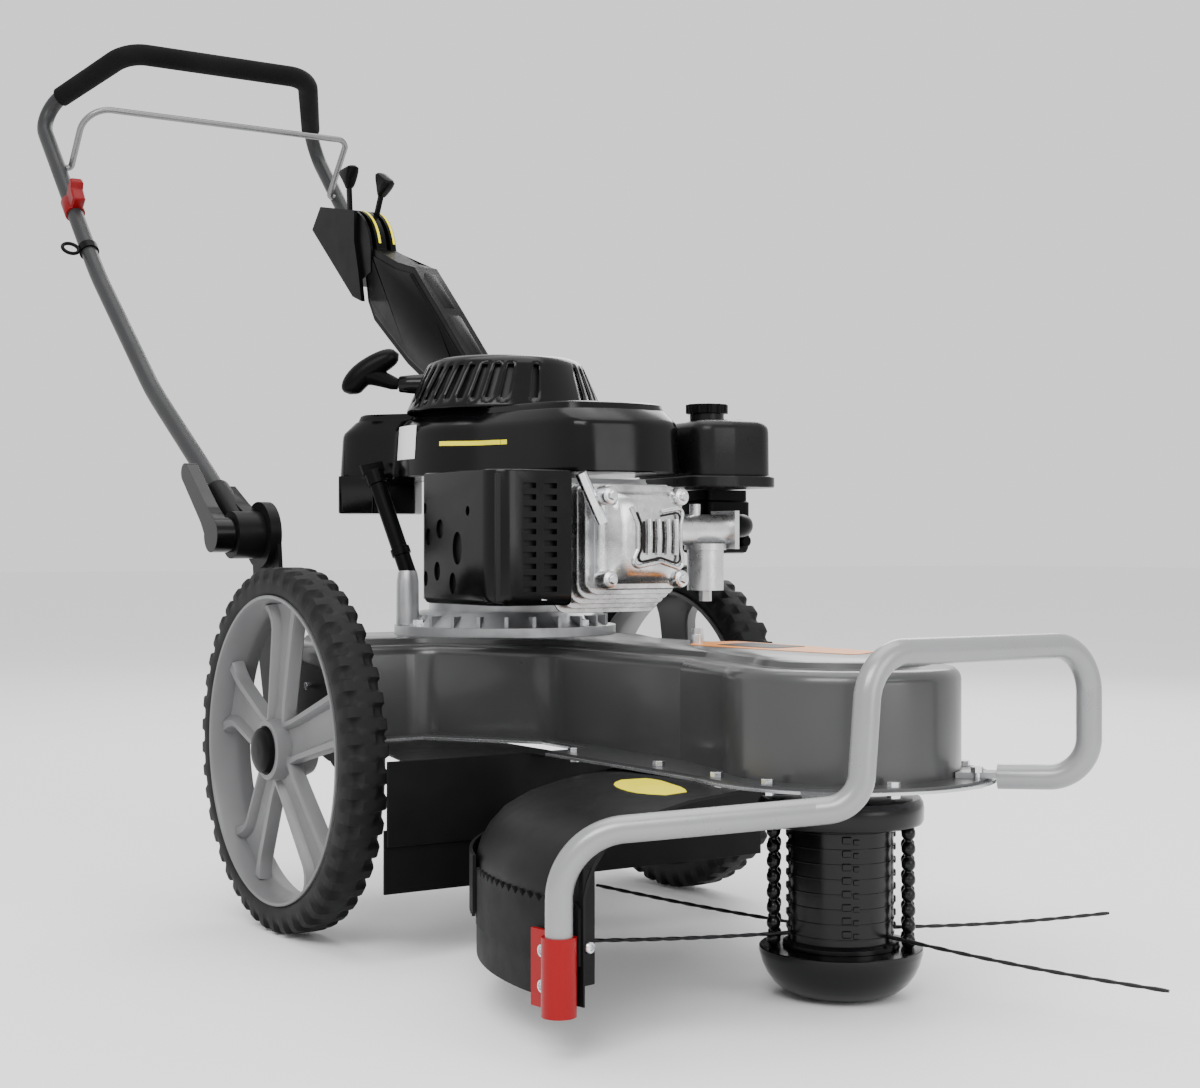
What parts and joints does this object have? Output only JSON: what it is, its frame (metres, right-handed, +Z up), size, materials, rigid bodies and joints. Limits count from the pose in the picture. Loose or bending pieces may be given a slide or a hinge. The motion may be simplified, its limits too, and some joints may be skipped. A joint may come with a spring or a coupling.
{
  "type": "walk-behind string trimmer",
  "caption": "Wheeled walk-behind string trimmer: engine on a belt deck drives a line spool head with skid cup, side skirt, guard bars, folding handle and bail.",
  "frame": {"origin": "centre of the skid cup's flat bottom, on the cutting head's axis, at ground level", "axes": "+X forwards, +Y to the operator's left, +Z up"},
  "size_m": [1.7574, 0.6156, 1.123],
  "materials": {
    "deck": "satin metallic dark grey paint",
    "plate": "bright edge",
    "zinc": "zinc plated",
    "casting": "as cast",
    "cover_casting": "bright cast",
    "carb": "die cast",
    "steel": "machined",
    "bracket": "black paint",
    "shield": "moulded charcoal plastic",
    "rubber": "matt rubber",
    "bar": "satin silver grey paint",
    "foot": "bright red paint",
    "gloss_black": "glossy black plastic",
    "matt_black": "satin black plastic",
    "heat_metal": "heat stained",
    "tank": "satin charcoal plastic",
    "ceramic": "glazed",
    "head_plastic": "moulded nylon",
    "cup_plastic": "polished black nylon",
    "line": "twisted nylon",
    "tyre": "dark rubber",
    "rim": "grey moulded plastic",
    "handle_paint": "dark grey paint",
    "foam": "closed cell foam",
    "catch": "dark red plastic",
    "wire": "bare wire"
  },
  "bodies": {
    "chassis": {"deck_shell": "deck", "cover_plate": "plate", "frame_bolts": "zinc", "spindle_housing": "casting", "spindle_bearings": "steel", "wheel_axle": "steel", "bracket_right": "bracket", "bracket_left": "bracket", "skirt_shield": "shield", "rubber_flaps": "rubber", "rear_panel": "shield", "side_bar": "bar", "front_bar": "bar", "foot_bracket": "foot", "crankcase": "casting", "cylinder_head": "casting", "valve_cover": "cover_casting", "blower_housing": "gloss_black", "recoil_cover": "gloss_black", "muffler": "heat_metal", "muffler_guard": "gloss_black", "carburetor": "carb", "air_box": "matt_black", "fuel_tank": "tank", "spark_plug": "ceramic", "filler_tube": "casting", "drive_belt": "rubber", "piston": "casting"},
    "crank": {"crankshaft": "steel", "flywheel": "casting", "engine_pulley": "steel"},
    "head": {"spindle": "steel", "spindle_pulley": "steel", "line_spool": "head_plastic", "line_posts": "head_plastic", "skid_cup": "cup_plastic", "trimmer_lines": "line"},
    "wheel_right": {"tyre_right": "tyre", "rim_right": "rim", "hub_cap_right": "matt_black"},
    "wheel_left": {"tyre_left": "tyre", "rim_left": "rim", "hub_cap_left": "matt_black"},
    "handle": {"handle_tube": "handle_paint", "foam_grip": "foam", "handle_sockets": "bracket", "console": "matt_black", "cable_cover": "matt_black", "bail_catch": "catch", "rope_guide": "matt_black"},
    "bail": {"bail_rod": "wire"},
    "throttle": {"throttle_lever": "matt_black"},
    "choke": {"choke_lever": "matt_black"},
    "clamp_right": {"clamp_lever_right": "gloss_black"},
    "clamp_left": {"clamp_lever_left": "gloss_black"},
    "starter": {"starter_grip": "matt_black"},
    "filler_cap": {"fuel_cap": "matt_black"},
    "oil_stick": {"dipstick": "matt_black"},
    "idler": {"idler_arm": "zinc"},
    "idler_wheel": {"idler_pulley": "steel"}
  },
  "joints": [
    {"name": "wheel_right_spin", "type": "hinge", "parent": "chassis", "child": "wheel_right", "pos_m": [-0.532, -0.299, 0.19], "axis": [0, 1, 0], "continuous": true},
    {"name": "wheel_left_spin", "type": "hinge", "parent": "chassis", "child": "wheel_left", "pos_m": [-0.532, 0.201, 0.19], "axis": [0, 1, 0], "continuous": true},
    {"name": "crank_spin", "type": "hinge", "parent": "chassis", "child": "crank", "pos_m": [-0.593, 0, 0.4], "axis": [0, 0, 1], "continuous": true},
    {"name": "head_spin", "type": "hinge", "parent": "chassis", "child": "head", "pos_m": [0, 0, 0.1], "axis": [0, 0, 1], "continuous": true},
    {"name": "handle_fold", "type": "hinge", "parent": "chassis", "child": "handle", "pos_m": [-0.722, -0.049, 0.415], "axis": [0, 1, 0], "range_deg": [-14, 20]},
    {"name": "clamp_right_turn", "type": "hinge", "parent": "handle", "child": "clamp_right", "pos_m": [-0.722, -0.295, 0.415], "axis": [0, -1, 0], "range_deg": [0, 100]},
    {"name": "clamp_left_turn", "type": "hinge", "parent": "handle", "child": "clamp_left", "pos_m": [-0.722, 0.197, 0.415], "axis": [0, -1, 0], "range_deg": [0, 100]},
    {"name": "bail_squeeze", "type": "hinge", "parent": "handle", "child": "bail", "pos_m": [-1.39, -0.049, 0.945], "axis": [0, -1, 0], "range_deg": [0, 50], "stiffness_Nm_per_rad": 0.6, "springref_deg": -28.65},
    {"name": "idler_swing", "type": "hinge", "parent": "chassis", "child": "idler", "pos_m": [-0.39, 0.072, 0.23], "axis": [0, 0, -1], "range_deg": [0, 12]},
    {"name": "idler_spin", "type": "hinge", "parent": "idler", "child": "idler_wheel", "pos_m": [-0.3, 0.081, 0.251], "axis": [0, 0, 1], "continuous": true},
    {"name": "throttle_swing", "type": "hinge", "parent": "handle", "child": "throttle", "pos_m": [-1.25, 0.125, 0.825], "axis": [0, 1, 0], "range_deg": [0, 60]},
    {"name": "choke_swing", "type": "hinge", "parent": "handle", "child": "choke", "pos_m": [-1.25, 0.145, 0.825], "axis": [0, 1, 0], "range_deg": [-30, 28]},
    {"name": "starter_pull", "type": "slide", "parent": "chassis", "child": "starter", "axis": [-0.5512, -0.8344, 0], "range_m": [0, 0.17], "stiffness_N_per_m": 15, "springref_m": -0.15},
    {"name": "fuel_cap_turn", "type": "hinge", "parent": "chassis", "child": "filler_cap", "pos_m": [-0.39, 0.14, 0.56], "axis": [0, 0, 1], "range_deg": [0, 90]},
    {"name": "dipstick_pull", "type": "slide", "parent": "chassis", "child": "oil_stick", "axis": [-0.3176, -0.1905, 0.9289], "range_m": [0, 0.05]}
  ],
  "couplings": [
    {"joint": "head_spin", "follows": "crank_spin", "ratio": 0.6624},
    {"joint": "idler_swing", "follows": "bail_squeeze", "ratio": 0.24}
  ]
}
